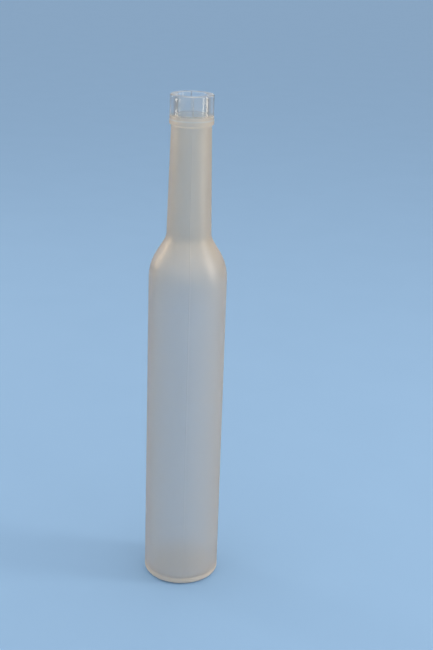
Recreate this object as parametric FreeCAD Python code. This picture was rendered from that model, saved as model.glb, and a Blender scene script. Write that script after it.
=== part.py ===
import FreeCAD, Part
import math
import os

# Slim dessert wine bottle for a cork, one piece of moulded glass.  All lengths are
# millimetres and all angles degrees.  The bottle stands on z = 0 with its axis on Z,
# and the origin is the centre of the foot.

# overall
total_h = 339.0            # foot to lip
body_d = 52.0              # straight side
body_h = 219.0             # foot to the start of the shoulder curve

# shoulder and neck
shoulder_angle = 31.5      # slope of the shoulder, measured from the axis
shoulder_r = 32.0          # round from the side into the slope
neck_root_r = 11.5         # hollow from the slope into the neck
neck_root_d = 29.5         # neck where it leaves the shoulder

# finish, the straight band around the mouth
finish_h = 18.6            # band with its bead
finish_d = 28.1
finish_step = 1.1          # how far the band stands out from the top of the neck
step_angle = 40.0          # slope of the step, measured from the horizontal
step_root_r = 0.7
step_edge_r = 0.8
bead_h = 2.9               # low bead around the lower end of the band
bead_proud = 0.15
bead_edge_r = 0.2
lip_outer_r = 1.0
lip_inner_r = 0.9

# inside of the mouth and neck
bore_d = 18.5              # straight seat for the cork
bore_h = 24.0
bore_end_r = 60.0          # easing from the seat into the widening neck

# glass thickness
body_wall = 3.6
neck_wall = 3.4
centre_t = 5.5             # over the middle of the punt
foot_t = 4.6               # over the foot ring, where the floor is lowest
floor_corner_r = 4.0       # inside corner between floor and side

# foot
heel_r = 3.5               # outside corner between side and foot
foot_ring_w = 3.0          # flat ring that the bottle stands on
punt_edge_r = 2.0          # round from the ring into the punt
punt_h = 5.5               # hollow under the base
knurl_count = 48           # short grooves around the foot ring
knurl_l = 2.4
knurl_w = 1.2
knurl_depth = 0.35

body_r = body_d / 2
finish_r = finish_d / 2
neck_top_r = finish_r - finish_step
neck_root = neck_root_d / 2
foot_out_r = body_r - heel_r
foot_in_r = foot_out_r - foot_ring_w


def at(radius, height):
    """Point of the outline, which lies in the half plane y = 0."""
    return FreeCAD.Vector(radius, 0, height)


def arc(start, centre, end):
    """Arc of less than half a turn about centre."""
    middle = (start - centre) + (end - centre)
    middle.normalize()
    on_arc = centre + middle * (start - centre).Length
    return Part.Arc(start, on_arc, end).toShape()


def line(start, end):
    return Part.LineSegment(start, end).toShape()


def rounded(corners):
    """Edges through a run of corners (point, radius), each rounded to its radius."""
    edges = []
    pen = corners[0][0]
    for i in range(1, len(corners) - 1):
        corner, radius = corners[i]
        back = (corners[i - 1][0] - corner).normalize()
        ahead = (corners[i + 1][0] - corner).normalize()
        half = back.getAngle(ahead) / 2
        start = corner + back * (radius / math.tan(half))
        end = corner + ahead * (radius / math.tan(half))
        centre = corner + (back + ahead).normalize() * (radius / math.sin(half))
        edges.append(line(pen, start))
        edges.append(arc(start, centre, end))
        pen = end
    edges.append(line(pen, corners[-1][0]))
    return edges


def shoulder_corners():
    """Where the side, the slope and the neck would meet if nothing were rounded."""
    bend = math.tan(math.radians(shoulder_angle) / 2)
    low = body_h + shoulder_r * bend
    high = low + (body_r - neck_root) / math.tan(math.radians(shoulder_angle))
    return bend, low, high


def punt():
    """Underside from the axis to the foot ring: a dome, then its rounded edge."""
    dome_r = (foot_in_r ** 2 + punt_h ** 2) / (2 * punt_h) - punt_edge_r
    dome_centre = at(0, punt_h - dome_r)
    edge_centre = at(foot_in_r, punt_edge_r)
    towards_edge = (edge_centre - dome_centre).normalize()
    touch = dome_centre + towards_edge * dome_r
    return [
        arc(at(0, punt_h), dome_centre, touch),
        arc(touch, edge_centre, at(foot_in_r, 0)),
    ]


def outside():
    """Foot ring, heel, side, shoulder, neck and finish, up to the lip."""
    bend, low, high = shoulder_corners()
    finish_z = total_h - finish_h
    bead_r = finish_r + bead_proud
    step_drop = (bead_r - neck_top_r) * math.tan(math.radians(step_angle))
    bead_top = finish_z + bead_h
    return [
        (at(foot_in_r, 0), 0),
        (at(body_r, 0), heel_r),
        (at(body_r, low), shoulder_r),
        (at(neck_root, high), neck_root_r),
        (at(neck_top_r, finish_z - step_drop), step_root_r),
        (at(bead_r, finish_z), step_edge_r),
        (at(bead_r, bead_top - bead_proud), bead_edge_r),
        (at(finish_r, bead_top), bead_edge_r),
        (at(finish_r, total_h), lip_outer_r),
    ]


def inside():
    """Lip, cork seat, neck, shoulder and side, down to the floor corner."""
    bend, low, high = shoulder_corners()
    return [
        (at(bore_d / 2, total_h), lip_inner_r),
        (at(bore_d / 2, total_h - bore_h), bore_end_r),
        (at(neck_root - neck_wall, high - neck_wall * bend), neck_root_r + neck_wall),
        (at(body_r - body_wall, low - body_wall * bend), shoulder_r - body_wall),
        (at(body_r - body_wall, foot_t + floor_corner_r), 0),
    ]


def floor():
    """Rounded corner from the side, then a dome that follows the punt to the axis."""
    top = punt_h + centre_t
    across = body_r - body_wall - floor_corner_r
    corner_centre = at(across, foot_t + floor_corner_r)
    sag = corner_centre.z - top
    dome_r = (across ** 2 + sag ** 2 - floor_corner_r ** 2) / (2 * (top - foot_t))
    dome_centre = at(0, top - dome_r)
    towards_corner = (corner_centre - dome_centre).normalize()
    touch = dome_centre + towards_corner * dome_r
    return [
        arc(at(body_r - body_wall, corner_centre.z), corner_centre, touch),
        arc(touch, dome_centre, at(0, top)),
    ]


def knurls():
    """Thin discs, each scooping a short groove across the flat of the foot ring."""
    disc_r = (knurl_l ** 2 / 4 + knurl_depth ** 2) / (2 * knurl_depth)
    hub = FreeCAD.Vector((foot_in_r + foot_out_r) / 2, -knurl_w / 2, knurl_depth - disc_r)
    disc = Part.makeCylinder(disc_r, knurl_w, hub, FreeCAD.Vector(0, 1, 0))
    discs = []
    for i in range(knurl_count):
        scoop = disc.copy()
        scoop.rotate(at(0, 0), at(0, 1), 360 / knurl_count * i)
        discs.append(scoop)
    return discs


def bottle():
    top = punt_h + centre_t
    edges = punt() + rounded(outside() + inside()) + floor()
    edges.append(line(at(0, top), at(0, punt_h)))
    section = Part.Face(Part.Wire(edges))
    glass = section.revolve(at(0, 0), at(0, 1), 360)
    return glass.cut(Part.makeCompound(knurls()))


os.makedirs("parts", exist_ok=True)
bottle().exportStep("parts/bottle.step")
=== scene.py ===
import math

import bpy
from mathutils import Matrix, Vector


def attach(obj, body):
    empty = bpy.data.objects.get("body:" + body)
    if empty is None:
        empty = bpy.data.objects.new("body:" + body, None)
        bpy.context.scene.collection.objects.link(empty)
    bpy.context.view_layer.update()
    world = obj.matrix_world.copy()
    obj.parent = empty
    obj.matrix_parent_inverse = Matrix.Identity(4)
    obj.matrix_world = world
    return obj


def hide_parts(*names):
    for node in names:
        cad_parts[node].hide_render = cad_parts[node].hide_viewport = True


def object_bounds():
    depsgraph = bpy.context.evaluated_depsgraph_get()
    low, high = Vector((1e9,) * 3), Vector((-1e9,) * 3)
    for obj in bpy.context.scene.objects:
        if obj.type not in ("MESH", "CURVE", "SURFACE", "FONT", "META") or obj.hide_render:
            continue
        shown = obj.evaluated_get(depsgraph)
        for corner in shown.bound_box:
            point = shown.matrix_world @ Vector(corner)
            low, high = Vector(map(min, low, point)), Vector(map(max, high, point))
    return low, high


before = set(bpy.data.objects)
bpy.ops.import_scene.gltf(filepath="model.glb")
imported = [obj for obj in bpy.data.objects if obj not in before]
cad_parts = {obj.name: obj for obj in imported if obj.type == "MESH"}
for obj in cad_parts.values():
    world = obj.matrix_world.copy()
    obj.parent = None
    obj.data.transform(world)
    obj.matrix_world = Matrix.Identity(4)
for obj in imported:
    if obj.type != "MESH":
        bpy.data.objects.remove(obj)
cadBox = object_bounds()
scene = bpy.context.scene
scene.view_settings.view_transform = "Standard"
mm = 0.001
print("stage 1: frame loaded")


# the bottle's outline, in millimetres; its height and width come from the frame
bottle = {
    "height": cadBox[1].z / mm,
    "width": 2 * cadBox[1].x / mm,
    "sideHeight": 219.0,       # foot to the start of the shoulder
    "shoulderAngle": 31.5,     # from the axis
    "shoulderRound": 32.0,
    "neckHollow": 11.5,
    "neckWidth": 29.5,         # at the shoulder
    "bandHeight": 18.6,        # the straight finish around the mouth
    "bandWidth": 28.1,
    "bandStep": 1.1,           # band over neck
    "stepAngle": 40.0,
    "stepHollow": 0.7,
    "stepEdge": 0.8,
    "beadHeight": 2.9,
    "beadProud": 0.15,
    "beadEdge": 0.2,
    "lipOuter": 1.0,
    "lipInner": 0.9,
    "boreWidth": 18.5,
    "boreHeight": 24.0,
    "boreEasing": 60.0,
    "sideWall": 3.6,
    "neckWall": 3.4,
    "centreGlass": 5.5,        # over the punt
    "footGlass": 4.6,          # at the lowest place of the floor
    "floorCorner": 4.0,
    "heel": 3.5,
    "footRing": 3.0,
    "puntEdge": 2.0,
    "puntHeight": 5.5,
    "clearHeight": 12.2,       # top of the band, left unfrosted
    "footShow": 5.2,           # solid glass of the foot, seen from outside
    "knurlLength": 2.4,
    "knurlRows": (-1, -0.75, -0.4, 0, 0.4, 0.75, 1),    # along half a knurl's length
    "ringEnd": 0.3,            # flat left between the ring and the heel
    "seamStop": 0.2,           # the seam dies out this far under the lip
    "arcStep": 7.5,            # degrees of each round between rows
    "arcLeast": 3,             # rows in the smallest round
    "supportInset": 0.6,       # supporting row at each end of a straight run
    "supportShare": 0.25,      # or this share of a short run
    "near": 0.01,              # heights closer than this count as the same
}
# how each row of the outline is finished
finish = {"clear": 0.0, "frostEdge": 0.5, "frosted": 1.0, "foot": 2.0}


# a place on the outline: radius and height
def at(radius, height):
    return Vector((radius, height))


def arcPoints(start, centre, end):
    first = start - centre
    last = end - centre
    turn = math.atan2(first.x * last.y - first.y * last.x, first.dot(last))
    steps = max(bottle["arcLeast"], math.ceil(abs(math.degrees(turn)) / bottle["arcStep"]))
    return [centre + Matrix.Rotation(turn * i / steps, 2) @ first for i in range(steps + 1)]


# a supporting row stands near each end of a straight run, so that the shading stays true
def linePoints(start, end):
    length = (end - start).length
    inset = min(bottle["supportInset"], length * bottle["supportShare"]) / length
    return [start.lerp(end, inset), start.lerp(end, 1 - inset)]


def roundedPoints(corners):
    points = []
    pen = corners[0][0]
    for i in range(1, len(corners) - 1):
        corner, radius = corners[i]
        back = (corners[i - 1][0] - corner).normalized()
        ahead = (corners[i + 1][0] - corner).normalized()
        half = back.angle(ahead) / 2
        start = corner + back * (radius / math.tan(half))
        end = corner + ahead * (radius / math.tan(half))
        centre = corner + (back + ahead).normalized() * (radius / math.sin(half))
        points += linePoints(pen, start) + arcPoints(start, centre, end)
        pen = end
    return points + linePoints(pen, corners[-1][0])


# a dome from the axis and the round that it meets
def domePoints(top, domeRound, corner, end):
    domeCentre = at(0, top - domeRound)
    touch = domeCentre + (corner - domeCentre).normalized() * domeRound
    return arcPoints(at(0, top), domeCentre, touch) + arcPoints(touch, corner, end)[1:]


# rows from the middle of the punt, up the outside, over the lip and down to the floor
def outlineRows(b):
    widths = ("width", "neckWidth", "bandWidth", "boreWidth")
    side, neck, band, bore = (b[name] / 2 for name in widths)
    side -= lathe["Seam Height"] / mm    # the seam itself reaches the full width
    height, wall = b["height"], side - b["sideWall"]
    bead, neckTop = band + b["beadProud"], band - b["bandStep"]
    bandFoot = height - b["bandHeight"]
    beadTop = bandFoot + b["beadHeight"]
    stepDrop = (bead - neckTop) * math.tan(math.radians(b["stepAngle"]))
    bend = math.tan(math.radians(b["shoulderAngle"]) / 2)
    low = b["sideHeight"] + b["shoulderRound"] * bend
    high = low + (side - neck) / math.tan(math.radians(b["shoulderAngle"]))
    ringOut = side - b["heel"]
    ringIn = ringOut - b["footRing"]
    ringMiddle = (ringIn + ringOut) / 2
    frostEnd = at(band, height - b["clearHeight"])

    rise = b["puntHeight"]
    puntRound = (ringIn ** 2 + rise ** 2) / (2 * rise) - b["puntEdge"]
    punt = domePoints(rise, puntRound, at(ringIn, b["puntEdge"]), at(ringIn, 0))
    ring = [at(ringMiddle + b["knurlLength"] * t / 2, 0) for t in b["knurlRows"]]
    outside = roundedPoints([
        (at(ringOut - b["ringEnd"], 0), 0), (at(side, 0), b["heel"]),
        (at(side, low), b["shoulderRound"]),
        (at(neck, high), b["neckHollow"]),
        (at(neckTop, bandFoot - stepDrop), b["stepHollow"]),
        (at(bead, bandFoot), b["stepEdge"]),
        (at(bead, beadTop - b["beadProud"]), b["beadEdge"]),
        (at(band, beadTop), b["beadEdge"]), (frostEnd, 0),
    ])
    aboveFoot = [p.y > b["footShow"] for p in outside].index(True)
    outside.insert(aboveFoot, at(side, b["footShow"]))
    inside = roundedPoints([
        (frostEnd, 0), (at(band, height), b["lipOuter"]), (at(bore, height), b["lipInner"]),
        (at(bore, height - b["boreHeight"]), b["boreEasing"]),
        (at(neck - b["neckWall"], high - b["neckWall"] * bend), b["neckHollow"] + b["neckWall"]),
        (at(wall, low - b["sideWall"] * bend), b["shoulderRound"] - b["sideWall"]),
        (at(wall, b["footGlass"] + b["floorCorner"]), 0),
    ])
    top = rise + b["centreGlass"]
    corner = at(wall - b["floorCorner"], b["footGlass"] + b["floorCorner"])
    sag = corner.y - top
    floorRound = ((corner.x ** 2 + sag ** 2 - b["floorCorner"] ** 2)
                  / (2 * (top - b["footGlass"])))
    floor = domePoints(top, floorRound, corner, at(wall, corner.y))[::-1]

    rows = [(p, finish["frosted"]) for p in punt + ring + outside]
    rows += [(frostEnd, finish["frostEdge"])]
    rows += [(p, finish["clear"]) for p in inside + floor]
    points = [p for p, coat in rows]
    made = []
    for i, (p, coat) in enumerate(rows):
        along = (points[min(i + 1, len(points) - 1)] - points[max(i - 1, 0)]).normalized()
        outer = coat > finish["clear"] or (p.y > frostEnd.y and p.x > (band + bore) / 2)
        under = i < len(punt) + len(ring)
        seam = 0.0    # none inside, nor under the foot
        if outer and not under:
            overLip = max(0.0, height - p.y - b["seamStop"]) / b["lipOuter"]
            seam = min(1.0, p.y / b["heel"], overLip)
        reach = (p.x - ringMiddle) / (b["knurlLength"] / 2)
        knurl = max(0.0, 1 - reach ** 2) if p.y == 0 else 0.0
        nearFoot = coat == finish["frosted"] and p.y < b["footShow"] + b["near"]
        if under or nearFoot:
            coat = finish["foot"]
        made.append({"place": p * mm, "outward": at(along.y, -along.x), "frost": coat,
                     "seam": seam, "knurl": knurl})
    return made


def outlineMesh(rows):
    mesh = bpy.data.meshes.new("outline")
    spots = [(r["place"].x, 0, r["place"].y) for r in rows]
    mesh.from_pydata(spots, [(i, i + 1) for i in range(len(rows) - 1)], [])
    for name in ("frost", "seam", "knurl"):
        values = [r[name] for r in rows]
        mesh.attributes.new(name, "FLOAT", "POINT").data.foreach_set("value", values)
    outward = [v for r in rows for v in (r["outward"].x, 0, r["outward"].y)]
    mesh.attributes.new("outward", "FLOAT_VECTOR", "POINT").data.foreach_set("vector", outward)
    return mesh


# small helpers for node trees
nodeGrid = {"columns": 12, "width": 190, "height": 260}


def addNode(tree, kind, settings=None, **inputs):
    node = tree.nodes.new(kind)
    count, across = len(tree.nodes), nodeGrid["columns"]
    node.location = (count % across * nodeGrid["width"], -count // across * nodeGrid["height"])
    for name, value in (settings or {}).items():
        setattr(node, name, value)
    for name, value in inputs.items():
        setInput(tree, node.inputs[name.replace("_", " ")], value)
    return node


def setInput(tree, socket, value):
    if isinstance(value, bpy.types.NodeSocket):
        tree.links.new(value, socket)
    else:
        socket.default_value = value


def calc(tree, operation, *values):
    node = addNode(tree, "ShaderNodeMath", {"operation": operation})
    for socket, value in zip(node.inputs, values):
        setInput(tree, socket, value)
    return node.outputs[0]


# mixes two colours; the colour sockets of the node are 6, 7 and 2
def blend(tree, share, low, high):
    node = addNode(tree, "ShaderNodeMix", {"data_type": "RGBA"})
    for number, value in ((0, share), (6, low), (7, high)):
        setInput(tree, node.inputs[number], value)
    return node.outputs[2]


def squared(tree, value):
    return calc(tree, "MULTIPLY", value, value)


# a soft hump: 1 at 0, and next to nothing from 2 on
def hump(tree, value):
    return calc(tree, "EXPONENT", calc(tree, "MULTIPLY", squared(tree, value), -1))


# turns the outline about the axis, with parting seams down the outside and knurls under the foot
lathe = {
    "Columns": 384,
    "Crowding": 0.6,                     # how much closer the columns stand at the seams
    "Seam Angle": math.radians(-87.0),   # one seam towards the viewer, its twin behind
    "Seam Height": 0.14 * mm,
    "Seam Width": 0.24 * mm,
    "Polished Seam": 2.6,                # so much higher again where the glass is clear
    "Knurl Count": 48,
    "Knurl Width": 1.2 * mm,
    "Knurl Depth": 0.35 * mm,
}
weldGap = 0.001 * mm    # points closer than this are joined, at the axis and along the start
# where one finish ends and the next begins, between the values in finish
clearBelow = 0.6
footAbove = 1.6


def makeLatheTree():
    tree = bpy.data.node_groups.new("outlineLathe", "GeometryNodeTree")
    face = tree.interface
    face.new_socket("Geometry", in_out="INPUT", socket_type="NodeSocketGeometry")
    for name, value in lathe.items():
        kind = "NodeSocketInt" if isinstance(value, int) else "NodeSocketFloat"
        face.new_socket(name, in_out="INPUT", socket_type=kind)
    for name in ("Frosted", "Clear", "Foot"):
        face.new_socket(name, in_out="INPUT", socket_type="NodeSocketMaterial")
    face.new_socket("Geometry", in_out="OUTPUT", socket_type="NodeSocketGeometry")
    given = addNode(tree, "NodeGroupInput").outputs

    # row and column of each point of the grid
    size = addNode(tree, "GeometryNodeAttributeDomainSize", Geometry=given["Geometry"])
    across = calc(tree, "ADD", given["Columns"], 1)
    grid = addNode(tree, "GeometryNodeMeshGrid", Vertices_X=size.outputs["Point Count"],
                   Vertices_Y=across)
    index = addNode(tree, "GeometryNodeInputIndex").outputs[0]
    row = calc(tree, "FLOOR", calc(tree, "DIVIDE", calc(tree, "ADD", index, 0.5), across))
    column = calc(tree, "SUBTRACT", index, calc(tree, "MULTIPLY", row, across))
    even = calc(tree, "MULTIPLY", calc(tree, "DIVIDE", column, given["Columns"]), math.tau)
    # the columns crowd towards the two seams
    twice = calc(tree, "SINE", calc(tree, "MULTIPLY", even, 2))
    crowd = calc(tree, "MULTIPLY", calc(tree, "MULTIPLY", twice, given["Crowding"]), -0.5)
    fromSeam = calc(tree, "ADD", even, crowd)
    angle = calc(tree, "ADD", fromSeam, given["Seam Angle"])

    def fromOutline(value, kind):
        node = addNode(tree, "GeometryNodeSampleIndex", {"data_type": kind, "domain": "POINT"},
                       Geometry=given["Geometry"], Value=value, Index=row)
        return node.outputs["Value"]

    def named(name, kind):
        node = addNode(tree, "GeometryNodeInputNamedAttribute", {"data_type": kind}, Name=name)
        return node.outputs["Attribute"]

    def parts(vector):
        return addNode(tree, "ShaderNodeSeparateXYZ", Vector=vector).outputs

    position = addNode(tree, "GeometryNodeInputPosition").outputs[0]
    place = parts(fromOutline(position, "FLOAT_VECTOR"))
    outward = parts(fromOutline(named("outward", "FLOAT_VECTOR"), "FLOAT_VECTOR"))
    coat = fromOutline(named("frost", "FLOAT"), "FLOAT")
    seamShare = fromOutline(named("seam", "FLOAT"), "FLOAT")
    knurlShare = fromOutline(named("knurl", "FLOAT"), "FLOAT")

    # the seam is a low ridge, and sin() of the turn is 0 at it and at its twin
    bare = calc(tree, "SUBTRACT", 1, calc(tree, "MINIMUM", coat, 1))
    swell = calc(tree, "ADD", 1, calc(tree, "MULTIPLY", bare, given["Polished Seam"]))
    offSeam = calc(tree, "MULTIPLY", place["X"], calc(tree, "SINE", fromSeam))
    fall = hump(tree, calc(tree, "DIVIDE", offSeam, given["Seam Width"]))
    ridge = calc(tree, "MULTIPLY", calc(tree, "MULTIPLY", fall, seamShare),
                 calc(tree, "MULTIPLY", given["Seam Height"], swell))

    # each knurl is a round groove that crosses the foot ring
    pitch = calc(tree, "DIVIDE", math.tau, given["Knurl Count"])
    half = calc(tree, "MULTIPLY", pitch, 0.5)
    offGroove = calc(tree, "WRAP", angle, half, calc(tree, "MULTIPLY", half, -1))
    reach = calc(tree, "DIVIDE", calc(tree, "MULTIPLY", offGroove, place["X"]),
                 calc(tree, "MULTIPLY", given["Knurl Width"], 0.5))
    hollow = calc(tree, "MAXIMUM", calc(tree, "SUBTRACT", 1, squared(tree, reach)), 0)
    lift = calc(tree, "MULTIPLY", calc(tree, "MULTIPLY", hollow, knurlShare), given["Knurl Depth"])

    radius = calc(tree, "ADD", place["X"], calc(tree, "MULTIPLY", ridge, outward["X"]))
    height = calc(tree, "ADD", calc(tree, "ADD", place["Z"], lift),
                  calc(tree, "MULTIPLY", ridge, outward["Z"]))
    spot = addNode(tree, "ShaderNodeCombineXYZ",
                   X=calc(tree, "MULTIPLY", radius, calc(tree, "COSINE", angle)),
                   Y=calc(tree, "MULTIPLY", radius, calc(tree, "SINE", angle)), Z=height)
    turned = addNode(tree, "GeometryNodeSetPosition", Geometry=grid.outputs["Mesh"],
                     Position=spot.outputs[0])
    kept = addNode(tree, "GeometryNodeStoreNamedAttribute",
                   {"data_type": "FLOAT", "domain": "POINT"},
                   Geometry=turned.outputs[0], Name="frosting", Value=coat)
    closed = addNode(tree, "GeometryNodeMergeByDistance", Geometry=kept.outputs[0],
                     Distance=weldGap)
    smooth = addNode(tree, "GeometryNodeSetShadeSmooth", Geometry=closed.outputs[0],
                     Shade_Smooth=True)
    real = addNode(tree, "GeometryNodeRealizeInstances", Geometry=smooth.outputs[0])
    etched = addNode(tree, "GeometryNodeSetMaterial", Geometry=real.outputs[0],
                     Material=given["Frosted"])
    unetched = calc(tree, "LESS_THAN", named("frosting", "FLOAT"), clearBelow)
    polished = addNode(tree, "GeometryNodeSetMaterial", Geometry=etched.outputs[0],
                       Selection=unetched, Material=given["Clear"])
    thick = calc(tree, "GREATER_THAN", named("frosting", "FLOAT"), footAbove)
    footed = addNode(tree, "GeometryNodeSetMaterial", Geometry=polished.outputs[0],
                     Selection=thick, Material=given["Foot"])
    # the grid's own faces look inwards
    facing = addNode(tree, "GeometryNodeFlipFaces", Mesh=footed.outputs[0])
    addNode(tree, "NodeGroupOutput", Geometry=facing.outputs[0])
    return tree


def turnBottle(frosted, clear, foot):
    rows = outlineRows(bottle)
    blank = bpy.data.objects.new("blank", outlineMesh(rows))
    scene.collection.objects.link(blank)
    tree = makeLatheTree()
    modifier = blank.modifiers.new("lathe", "NODES")
    modifier.node_group = tree
    values = {**lathe, "Frosted": frosted, "Clear": clear, "Foot": foot}
    for item in tree.interface.items_tree:
        if item.in_out == "INPUT" and item.name in values:
            modifier[item.identifier] = values[item.name]
    bpy.context.view_layer.update()
    shown = blank.evaluated_get(bpy.context.evaluated_depsgraph_get())
    glass = bpy.data.objects.new("bottleGlass", bpy.data.meshes.new_from_object(shown))
    scene.collection.objects.link(glass)
    bpy.data.objects.remove(blank)
    print("stage 2: bottle turned,", len(rows), "rows,", len(glass.data.polygons), "faces")
    return glass


# finishes of the glass
frost = {
    "name": "satinFrost",
    "colour": (0.94, 0.93, 0.91, 1),
    "thinColour": (0.89, 0.88, 0.86, 1),
    # painted warm light: the neck is tinted warmer where light falls from above
    "neckWarmLight": (0.97, 0.86, 0.72, 1),
    # painted warm reflection of the room, blended in at the rims
    "rimReflection": (0.99, 0.79, 0.58, 1),
    "beadHighlight": (1.0, 0.97, 0.90, 1),   # painted highlight along the top of the bead
    "beadHighlightWidth": 0.5 * mm,
    "transmission": 0.72,
    "roughness": (0.34, 0.44),
    "neckStart": 0.60,         # share of the height where the painted warm light on the neck sets in
    "neckEnd": 0.72,           # and where it is full
    "cloudSize": 28 * mm,      # uneven etching
    "cloudShare": 0.8,         # of the unevenness, the grain has the rest
    "grainShare": 0.2,
    "grainSize": 0.35 * mm,    # the satin grain
    "grainDepth": 0.02 * mm,
    "grainStrength": 0.6,
    "rippleSize": 14 * mm,
    "rippleDepth": 0.05 * mm,
    "fadeHeight": 2.0 * mm,    # where the etching thins out on the band
    "fadeShare": 0.6,          # how much of the roughness goes there
    "ior": 1.52,
}
# the thick foot lets less light through
foot = {
    **frost,
    "name": "satinFoot",
    "colour": (0.79, 0.73, 0.65, 1),
    "thinColour": (0.74, 0.68, 0.60, 1),
    "transmission": 0.35,
    "roughness": (0.55, 0.65),
}
clear = {
    "name": "clearGlass",
    "colour": (0.94, 0.95, 0.94, 1),
    "transmission": 0.88,      # a light haze takes the rest
    "roughness": (0.01, 0.05),
    "smudgeSize": 9 * mm,
    "rippleSize": 6 * mm,
    "rippleDepth": 0.03 * mm,
    "ior": 1.52,
}
rippleStretch = (1, 1, 0.35)    # a wave is longer up the bottle than around it


# slow waves that a moulded surface keeps
def makeRippleGroup():
    group = bpy.data.node_groups.new("mouldRipple", "ShaderNodeTree")
    face = group.interface
    face.new_socket("Vector", in_out="INPUT", socket_type="NodeSocketVector")
    face.new_socket("Wave Size", in_out="INPUT", socket_type="NodeSocketFloat")
    face.new_socket("Height", in_out="OUTPUT", socket_type="NodeSocketFloat")
    given = addNode(group, "NodeGroupInput").outputs
    stretch = addNode(group, "ShaderNodeVectorMath", {"operation": "MULTIPLY"})
    group.links.new(given["Vector"], stretch.inputs[0])
    stretch.inputs[1].default_value = rippleStretch
    noise = addNode(group, "ShaderNodeTexNoise", Vector=stretch.outputs[0], Detail=2.0,
                    Scale=calc(group, "DIVIDE", 1, given["Wave Size"]))
    addNode(group, "NodeGroupOutput", Height=noise.outputs[0])
    return group


def ripple(tree, group, vector, size):
    node = addNode(tree, "ShaderNodeGroup", {"node_tree": group}, Vector=vector, Wave_Size=size)
    return node.outputs["Height"]


def between(tree, share, low, high):
    node = addNode(tree, "ShaderNodeMapRange", Value=share, To_Min=low, To_Max=high)
    return node.outputs["Result"]


def newGlass(f):
    material = bpy.data.materials.new(f["name"])
    material.use_nodes = True
    tree = material.node_tree
    surface = tree.nodes["Principled BSDF"]
    surface.inputs["IOR"].default_value = f["ior"]
    surface.inputs["Transmission Weight"].default_value = f["transmission"]
    vector = addNode(tree, "ShaderNodeTexCoord").outputs["Object"]
    return material, tree, surface, vector


def makeFrosted(f, rippleGroup):
    material, tree, surface, vector = newGlass(f)
    cloudNoise = addNode(tree, "ShaderNodeTexNoise", Vector=vector, Scale=1 / f["cloudSize"],
                         Detail=4.0, Roughness=0.6)
    grainNoise = addNode(tree, "ShaderNodeTexNoise", Vector=vector, Scale=1 / f["grainSize"],
                         Detail=3.0)
    grain = grainNoise.outputs["Fac"]
    share = calc(tree, "ADD", calc(tree, "MULTIPLY", cloudNoise.outputs["Fac"], f["cloudShare"]),
                 calc(tree, "MULTIPLY", grain, f["grainShare"]))
    height = addNode(tree, "ShaderNodeSeparateXYZ", Vector=vector).outputs["Z"]

    # colour: painted warm light up the neck, a painted warm reflection at the rims and a painted
    # highlight along the top of the bead
    tall = bottle["height"] * mm
    # painted warm light, growing up the neck
    up = addNode(tree, "ShaderNodeMapRange", Value=height, From_Min=f["neckStart"] * tall,
                 From_Max=f["neckEnd"] * tall).outputs["Result"]
    # painted reflection: warmer where the glass turns away from the viewer
    rim = addNode(tree, "ShaderNodeLayerWeight", Blend=0.5).outputs["Facing"]
    low = blend(tree, share, f["thinColour"], f["colour"])
    tone = blend(tree, rim, blend(tree, up, low, f["neckWarmLight"]), f["rimReflection"])
    # painted highlight: a thin light line in the base colour at the top of the bead
    beadTop = (bottle["height"] - bottle["bandHeight"] + bottle["beadHeight"]) * mm
    offHighlight = calc(tree, "DIVIDE", calc(tree, "SUBTRACT", height, beadTop), f["beadHighlightWidth"])
    colour = blend(tree, hump(tree, offHighlight), tone, f["beadHighlight"])
    setInput(tree, surface.inputs["Base Color"], colour)

    # roughness: less where the etching thins out
    fadeTop = (bottle["height"] - bottle["clearHeight"]) * mm
    thin = addNode(tree, "ShaderNodeMapRange", Value=height, From_Min=fadeTop - f["fadeHeight"],
                   From_Max=fadeTop).outputs["Result"]
    full = calc(tree, "SUBTRACT", 1, calc(tree, "MULTIPLY", thin, f["fadeShare"]))
    roughness = calc(tree, "MULTIPLY", between(tree, share, *f["roughness"]), full)
    setInput(tree, surface.inputs["Roughness"], roughness)

    fine = addNode(tree, "ShaderNodeBump", Height=grain, Distance=f["grainDepth"],
                   Strength=f["grainStrength"])
    broad = addNode(tree, "ShaderNodeBump", Distance=f["rippleDepth"], Normal=fine.outputs[0],
                    Height=ripple(tree, rippleGroup, vector, f["rippleSize"]))
    setInput(tree, surface.inputs["Normal"], broad.outputs[0])
    return material


def makeClear(f, rippleGroup):
    material, tree, surface, vector = newGlass(f)
    surface.inputs["Base Color"].default_value = f["colour"]
    smudge = addNode(tree, "ShaderNodeTexNoise", Vector=vector, Scale=1 / f["smudgeSize"],
                     Detail=3.0)
    roughness = between(tree, smudge.outputs["Fac"], *f["roughness"])
    setInput(tree, surface.inputs["Roughness"], roughness)
    wave = addNode(tree, "ShaderNodeBump", Distance=f["rippleDepth"],
                   Height=ripple(tree, rippleGroup, vector, f["rippleSize"]))
    setInput(tree, surface.inputs["Normal"], wave.outputs[0])
    return material


rippleGroup = makeRippleGroup()
glass = turnBottle(makeFrosted(frost, rippleGroup), makeClear(clear, rippleGroup),
                   makeFrosted(foot, rippleGroup))
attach(glass, "root")
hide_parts("bottle")
print("stage 3: glass finished")


# floor, world and soft lights
studio = {
    "paper": (0.30, 0.50, 0.78, 1),
    "paperShade": (0.285, 0.48, 0.755, 1),
    "backdrop": (0.225, 0.36, 0.53, 1),  # as bright as the far end of the floor
    "room": (0.80, 0.74, 0.66, 1),       # seen in the glass on the viewer's side
    "side": (0.20, 0.22, 0.24, 1),       # darker left and right
    "sideStart": 0.5,                    # metres to either side on the floor
    "sideEnd": 1.6,
    "sideView": (0.5, 0.9),              # the same on the walls, as a share of the view
    "nearView": (0.4, -0.3),             # from the paper behind to the room in front
    "ceiling": (0.95, 0.90, 0.82, 1),    # and overhead
    "ceilingView": (0.0, 0.5),
    "floorRadius": 14.0,
    "floorEdges": 96,
    "floorRoughness": 0.9,
    "floorGloss": 0.2,
    "fibreScale": 14.0,
    "glassFloor": 0.86,                  # how bright the glass shows the floor
    "worldLight": (1.0, 0.96, 0.91, 1),
    "worldStrength": 0.76,
}
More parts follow.
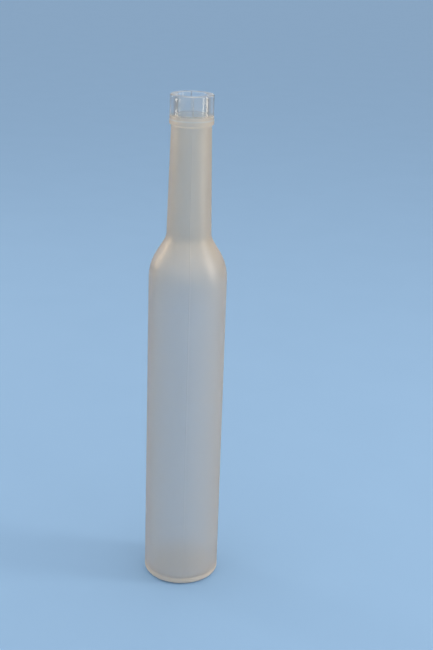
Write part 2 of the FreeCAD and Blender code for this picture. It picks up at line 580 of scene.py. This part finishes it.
# each soft box: where it stands, its width and height, its power and colour
softBoxes = {
    "rightWindow": {
        "at": (1.13, -0.15, 0.5), "size": (0.26, 0.9), "power": 5.0, "colour": (1.0, 0.90, 0.77)},
    "leftPane": {
        "at": (-1.0, -0.04, 0.187), "size": (0.26, 0.010), "power": 0.055,
        "colour": (1.0, 0.94, 0.88)},
    "leftLowPane": {
        "at": (-1.0, -0.04, 0.163), "size": (0.26, 0.012), "power": 0.045,
        "colour": (1.0, 0.94, 0.88)},
    "leftBox": {
        "at": (-0.9, 0.6, 0.5), "size": (0.2, 0.7), "power": 1.4, "colour": (1.0, 0.87, 0.73)},
    "topBox": {
        "at": (0.15, -0.2, 1.6), "size": (1.6, 1.6), "power": 6.0, "colour": (1.0, 0.93, 0.84)},
}


def makeFloor(s):
    radius, steps = s["floorRadius"], s["floorEdges"]
    turns = [math.tau * i / steps for i in range(steps)]
    ring = [(radius * math.cos(turn), radius * math.sin(turn), 0) for turn in turns]
    mesh = bpy.data.meshes.new("floor")
    mesh.from_pydata(ring, [], [list(range(steps))])
    floor = bpy.data.objects.new("floor", mesh)
    scene.collection.objects.link(floor)
    material = bpy.data.materials.new("palePaper")
    material.use_nodes = True
    tree = material.node_tree
    surface = tree.nodes["Principled BSDF"]
    vector = addNode(tree, "ShaderNodeTexCoord").outputs["Object"]
    fibre = addNode(tree, "ShaderNodeTexNoise", Vector=vector, Scale=s["fibreScale"], Detail=5.0)
    paper = blend(tree, fibre.outputs["Fac"], s["paperShade"], s["paper"])
    setInput(tree, surface.inputs["Base Color"], paper)
    surface.inputs["Roughness"].default_value = s["floorRoughness"]
    surface.inputs["Specular IOR Level"].default_value = s["floorGloss"]
    # the glass shows the paper without the bottle's own shadow, darker to either side
    across = addNode(tree, "ShaderNodeSeparateXYZ", Vector=vector).outputs["X"]
    aside = addNode(tree, "ShaderNodeMapRange", Value=calc(tree, "ABSOLUTE", across),
                    From_Min=s["sideStart"], From_Max=s["sideEnd"]).outputs["Result"]
    plain = addNode(tree, "ShaderNodeEmission", Color=blend(tree, aside, s["paper"], s["side"]),
                    Strength=s["glassFloor"])
    path = addNode(tree, "ShaderNodeLightPath").outputs
    mix = addNode(tree, "ShaderNodeMixShader")
    throughGlass = calc(tree, "MAXIMUM", path["Is Glossy Ray"], path["Is Transmission Ray"])
    setInput(tree, mix.inputs[0], throughGlass)
    setInput(tree, mix.inputs[1], surface.outputs[0])
    setInput(tree, mix.inputs[2], plain.outputs[0])
    tree.links.new(mix.outputs[0], tree.nodes["Material Output"].inputs["Surface"])
    mesh.materials.append(material)


# the viewer sees a plain backdrop, the glass a room, and the rest plain light
def makeWorld(s):
    world = bpy.data.worlds.new("studio")
    scene.world = world
    world.use_nodes = True
    tree = world.node_tree
    light = tree.nodes["Background"]
    light.inputs["Color"].default_value = s["worldLight"]
    light.inputs["Strength"].default_value = s["worldStrength"]
    coordinates = addNode(tree, "ShaderNodeTexCoord").outputs["Generated"]
    way = addNode(tree, "ShaderNodeSeparateXYZ", Vector=coordinates).outputs

    def ramp(value, ends):
        node = addNode(tree, "ShaderNodeMapRange", Value=value, From_Min=ends[0], From_Max=ends[1])
        return node.outputs["Result"]

    walls = blend(tree, ramp(way["Y"], s["nearView"]), s["paper"], s["room"])
    walls = blend(tree, ramp(calc(tree, "ABSOLUTE", way["X"]), s["sideView"]), walls, s["side"])
    sky = blend(tree, ramp(way["Z"], s["ceilingView"]), walls, s["ceiling"])
    path = addNode(tree, "ShaderNodeLightPath").outputs
    shown = blend(tree, path["Is Camera Ray"], sky, s["backdrop"])
    seen = addNode(tree, "ShaderNodeBackground", Color=shown, Strength=1.0)
    throughGlass = calc(tree, "MAXIMUM", path["Is Glossy Ray"], path["Is Transmission Ray"])
    mix = addNode(tree, "ShaderNodeMixShader")
    setInput(tree, mix.inputs[0], calc(tree, "MAXIMUM", path["Is Camera Ray"], throughGlass))
    setInput(tree, mix.inputs[1], light.outputs[0])
    setInput(tree, mix.inputs[2], seen.outputs[0])
    tree.links.new(mix.outputs[0], tree.nodes["World Output"].inputs["Surface"])


def makeSoftBox(name, s):
    data = bpy.data.lights.new(name, "AREA")
    data.shape = "RECTANGLE"
    data.size, data.size_y = s["size"]
    data.energy = s["power"]
    data.color = s["colour"]
    box = bpy.data.objects.new(name, data)
    box.location = s["at"]
    aim = Vector((0, 0, bottle["height"] * mm / 2)) - Vector(s["at"])
    box.rotation_euler = aim.to_track_quat("-Z", "Y").to_euler()
    scene.collection.objects.link(box)


makeFloor(studio)
makeWorld(studio)
for name, box in softBoxes.items():
    makeSoftBox(name, box)
print("stage 4: studio lit")


# the camera stands in front and looks down on the bottle
view = {
    "away": 0.7304,      # metres in front of the axis
    "height": 0.4471,
    "down": 19.69,       # degrees
    "turn": 1.571,
    "roll": 1.947,
    "lens": 64.06,       # mm, on a sensor this wide
    "sensor": 36,
    "nearest": 0.05,     # metres
}


def makeCamera(v):
    data = bpy.data.cameras.new("camera")
    data.lens = v["lens"]
    data.sensor_width = v["sensor"]
    data.clip_start = v["nearest"]
    camera = bpy.data.objects.new("camera", data)
    tilt = Matrix.Rotation(math.radians(90 - v["down"]), 4, "X")
    camera.matrix_world = (Matrix.Translation((0, -v["away"], v["height"]))
                           @ Matrix.Rotation(math.radians(-v["turn"]), 4, "Z") @ tilt
                           @ Matrix.Rotation(math.radians(v["roll"]), 4, "Z"))
    scene.collection.objects.link(camera)
    scene.camera = camera


makeCamera(view)
